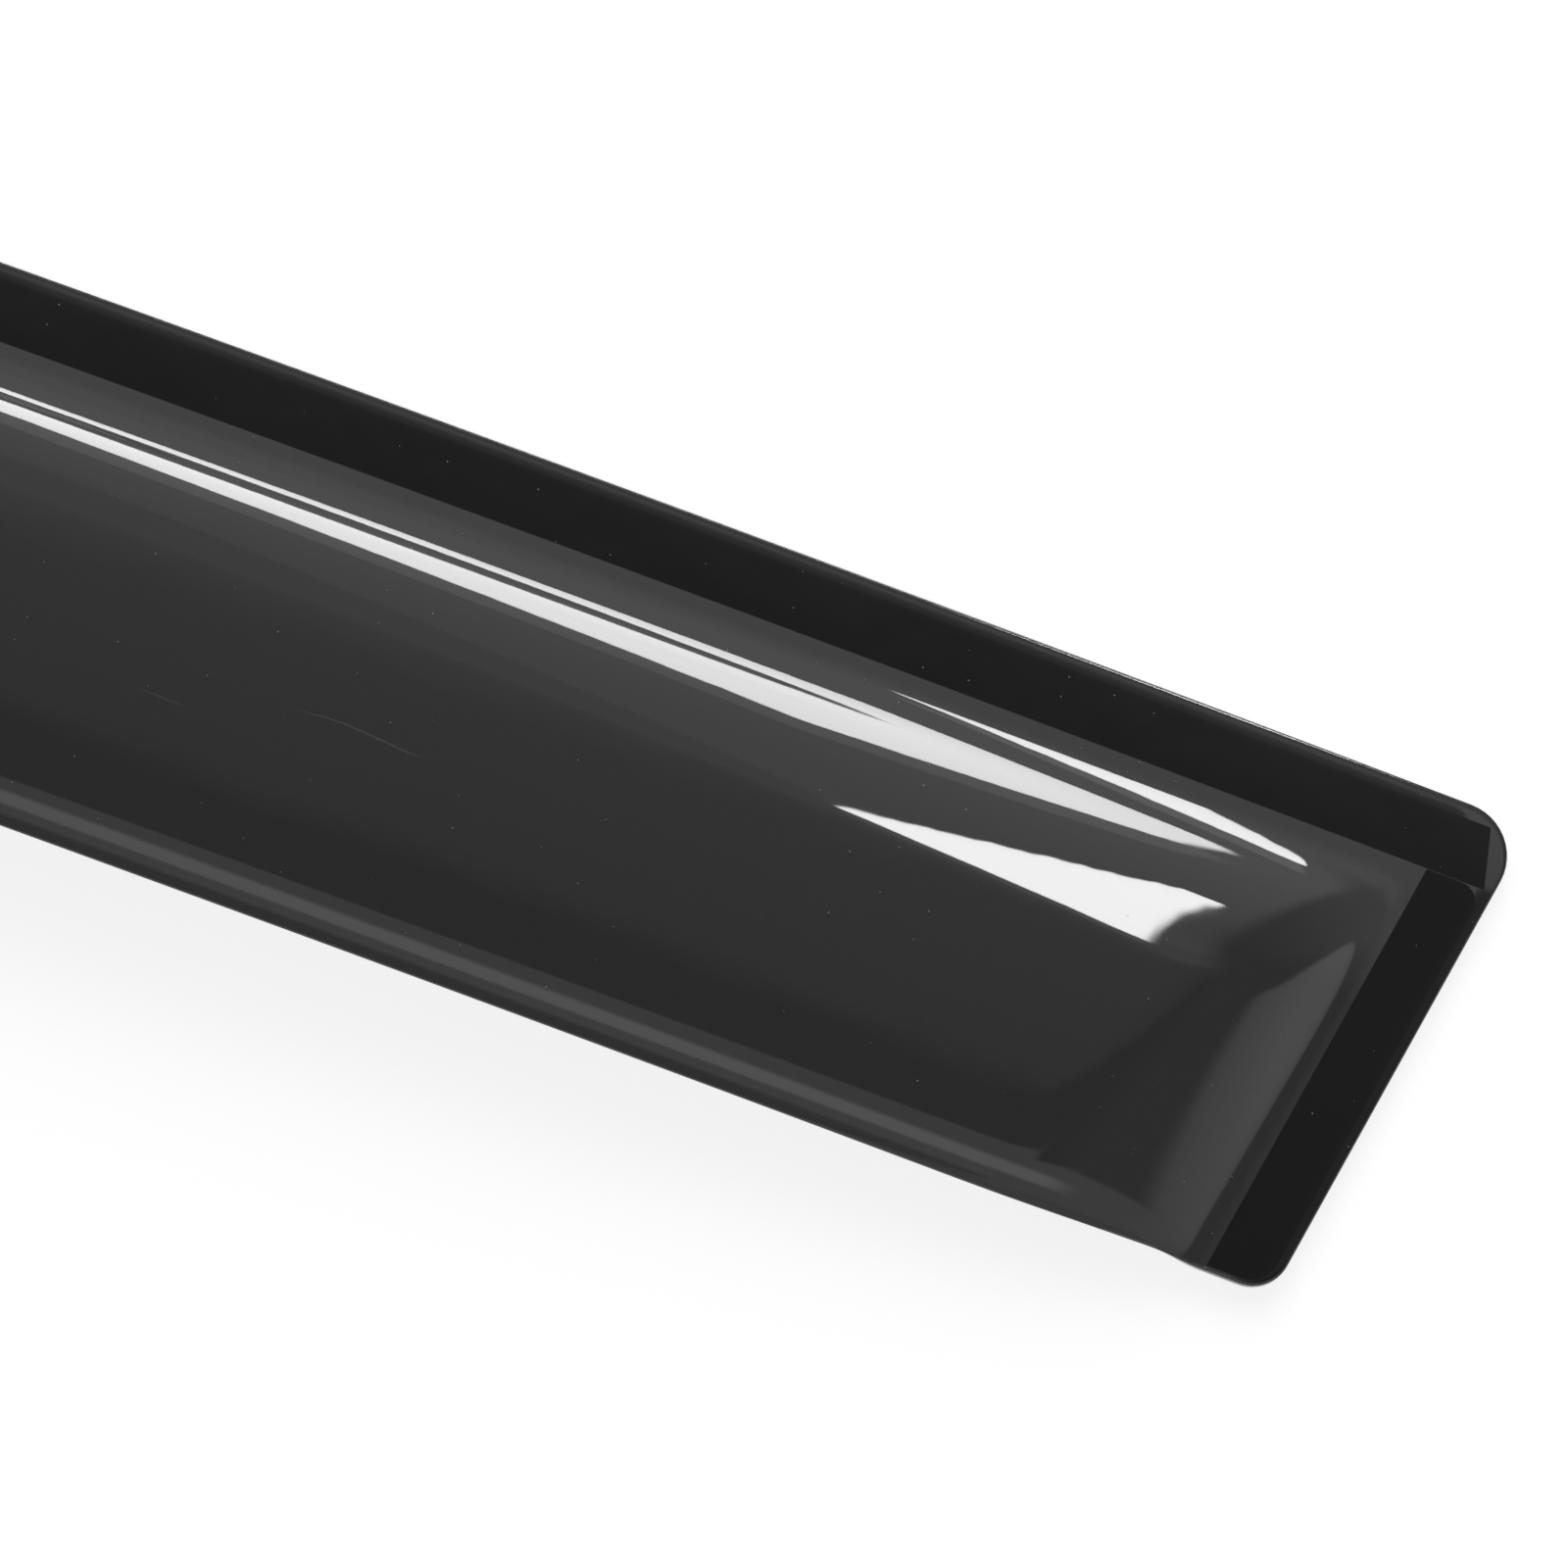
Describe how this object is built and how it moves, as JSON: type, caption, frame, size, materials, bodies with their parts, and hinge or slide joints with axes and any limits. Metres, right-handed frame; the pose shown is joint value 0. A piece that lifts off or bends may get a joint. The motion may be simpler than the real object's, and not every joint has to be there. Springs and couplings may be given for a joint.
{
  "type": "window rain deflector",
  "caption": "Long bowed smoked visor with a raised face, a flat bonding flange with foam tape behind it and a free rolled lower edge, which keeps rain out of an open car window.",
  "frame": {"origin": "centre of the bounding box in plan, on the surface that the taped side lies on", "axes": "+X along the top edge, +Y towards the bonded top edge, +Z out of the visor's face, away from the car"},
  "size_m": [0.6166, 0.0901, 0.0282],
  "materials": {
    "smoked_acrylic": "glossy, smoked and slightly see-through",
    "foam_tape": "matte black closed-cell foam"
  },
  "bodies": {
    "root": {"visor_shell": "smoked_acrylic", "top_tape": "foam_tape", "right_end_tape": "foam_tape", "left_end_tape": "foam_tape"}
  },
  "joints": []
}
